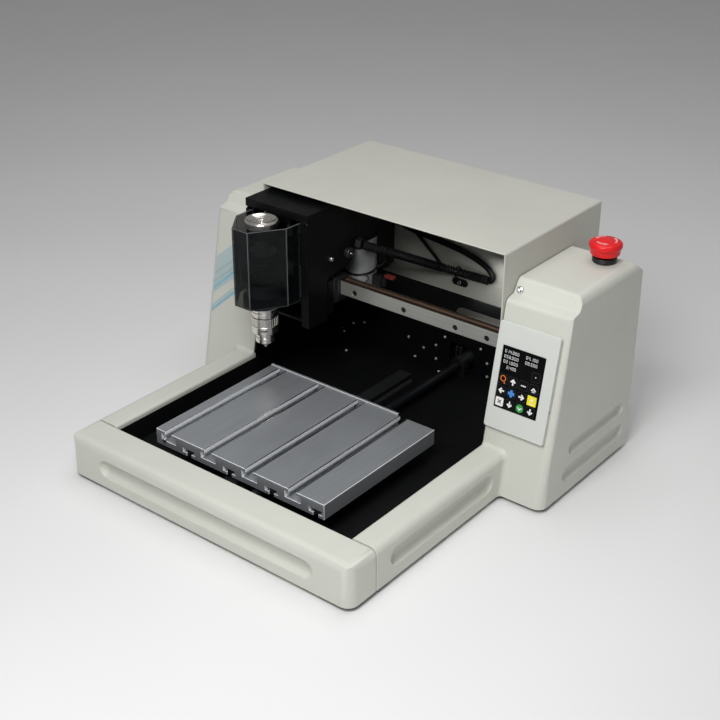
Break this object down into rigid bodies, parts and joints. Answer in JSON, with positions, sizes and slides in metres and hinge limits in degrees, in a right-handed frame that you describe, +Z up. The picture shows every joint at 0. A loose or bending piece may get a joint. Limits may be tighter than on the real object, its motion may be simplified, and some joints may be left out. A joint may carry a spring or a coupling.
{
  "type": "cnc router",
  "caption": "Desktop router with a moving slotted table, a bridge that carries a belt-driven spindle head, a keypad and a stop button.",
  "frame": {"origin": "middle of the bounding box's bottom face, on the surface the feet stand on", "axes": "+Z up, +X to the operator's right along the bridge, +Y from the front sill to the hood's back"},
  "size_m": [0.584, 0.568, 0.311],
  "materials": {
    "cover": "fine-textured warm off-white moulding",
    "hood_paint": "fine-textured warm off-white paint",
    "black_metal": "matte black powder coat",
    "black_plastic": "matte black moulding",
    "rubber": "matte",
    "aluminium": "satin anodised extrusion",
    "steel": "ground",
    "chrome": "bright",
    "brass": "turned",
    "red": "satin red",
    "smoke": "clear smoked plastic",
    "screen": "glossy",
    "motor_grey": "satin grey can"
  },
  "bodies": {
    "root": {"base_pan": "black_metal", "foot_front_left": "rubber", "foot_front_right": "rubber", "foot_rear_left": "rubber", "foot_rear_right": "rubber", "front_cover": "cover", "side_cover_left": "cover", "side_cover_right": "cover", "hood": "hood_paint", "rear_panel": "black_metal", "back_plate": "black_metal", "gantry_plate_left": "black_metal", "gantry_plate_right": "black_metal", "x_rail": "steel", "x_beam": "black_metal", "x_motor": "black_plastic", "y_rail": "black_metal", "y_motor": "black_plastic", "y_rear_bearing": "black_plastic", "control_panel": "cover", "control_screen": "screen", "estop_collar": "black_plastic", "power_inlet": "black_plastic", "power_supply": "aluminium", "controller_box": "black_plastic", "conduit": "black_plastic", "cable_loop": "rubber"},
    "table": {"table": "aluminium", "table_rear_strip": "aluminium", "y_block": "steel", "y_nut": "brass"},
    "y_screw": {"y_screw": "black_metal", "y_coupling": "aluminium"},
    "x_screw": {"x_screw": "steel"},
    "x_carriage": {"carriage_plate": "black_metal", "x_block_left": "steel", "x_block_right": "steel", "x_nut": "brass", "head_housing": "black_metal", "head_floor": "black_metal", "z_guide_left": "chrome", "z_guide_right": "chrome", "z_motor": "black_plastic", "spindle_guard": "smoke"},
    "z_screw": {"z_screw": "steel"},
    "z_slide": {"z_slide_block": "aluminium", "motor_arm": "black_metal", "spindle_bracket": "black_metal", "spindle_body": "black_plastic", "nose_sleeve": "chrome", "spindle_motor": "motor_grey", "spindle_belt": "rubber"},
    "spindle_rotor": {"spindle_shaft": "steel", "spindle_pulley": "aluminium", "spindle_knob": "chrome", "tool_bit": "steel"},
    "motor_rotor": {"motor_pulley": "aluminium"},
    "depth_ring": {"depth_ring": "chrome"},
    "estop": {"estop_head": "red"},
    "power_rocker": {"power_rocker": "black_plastic"}
  },
  "joints": [
    {"name": "table_slide", "type": "slide", "parent": "root", "child": "table", "axis": [0, 1, 0], "range_m": [0, 0.2]},
    {"name": "x_slide", "type": "slide", "parent": "root", "child": "x_carriage", "axis": [1, 0, 0], "range_m": [0, 0.238], "deforming": ["conduit"]},
    {"name": "z_slide", "type": "slide", "parent": "x_carriage", "child": "z_slide", "axis": [0, 0, 1], "range_m": [-0.03, 0.01]},
    {"name": "x_screw_turn", "type": "hinge", "parent": "root", "child": "x_screw", "pos_m": [0, 0.118, 0.154], "axis": [1, 0, 0], "continuous": true},
    {"name": "y_screw_turn", "type": "hinge", "parent": "root", "child": "y_screw", "pos_m": [0.031, 0, 0.045], "axis": [0, 1, 0], "continuous": true},
    {"name": "z_screw_turn", "type": "hinge", "parent": "x_carriage", "child": "z_screw", "pos_m": [-0.158, 0.066, 0], "axis": [0, 0, 1], "continuous": true},
    {"name": "spindle_spin", "type": "hinge", "parent": "z_slide", "child": "spindle_rotor", "pos_m": [-0.137, -0.012, 0], "axis": [0, 0, 1], "continuous": true},
    {"name": "motor_spin", "type": "hinge", "parent": "z_slide", "child": "motor_rotor", "pos_m": [-0.106, 0.156, 0], "axis": [0, 0, 1], "continuous": true},
    {"name": "depth_ring_turn", "type": "hinge", "parent": "z_slide", "child": "depth_ring", "pos_m": [-0.137, -0.012, 0], "axis": [0, 0, 1], "range_deg": [-180, 180]},
    {"name": "estop_press", "type": "slide", "parent": "root", "child": "estop", "axis": [0, 0, -1], "range_m": [0, 0.005], "stiffness_N_per_m": 1500, "springref_m": -0.002},
    {"name": "power_rocker_tip", "type": "hinge", "parent": "root", "child": "power_rocker", "pos_m": [-0.08, 0.276, 0.046], "axis": [1, 0, 0], "range_deg": [0, 14]}
  ],
  "couplings": [
    {"joint": "x_screw_turn", "follows": "x_slide", "rad_per_m": 628.32},
    {"joint": "y_screw_turn", "follows": "table_slide", "rad_per_m": 628.32},
    {"joint": "z_screw_turn", "follows": "z_slide", "rad_per_m": 1256.6},
    {"joint": "motor_spin", "follows": "spindle_spin", "ratio": 1.2857}
  ]
}
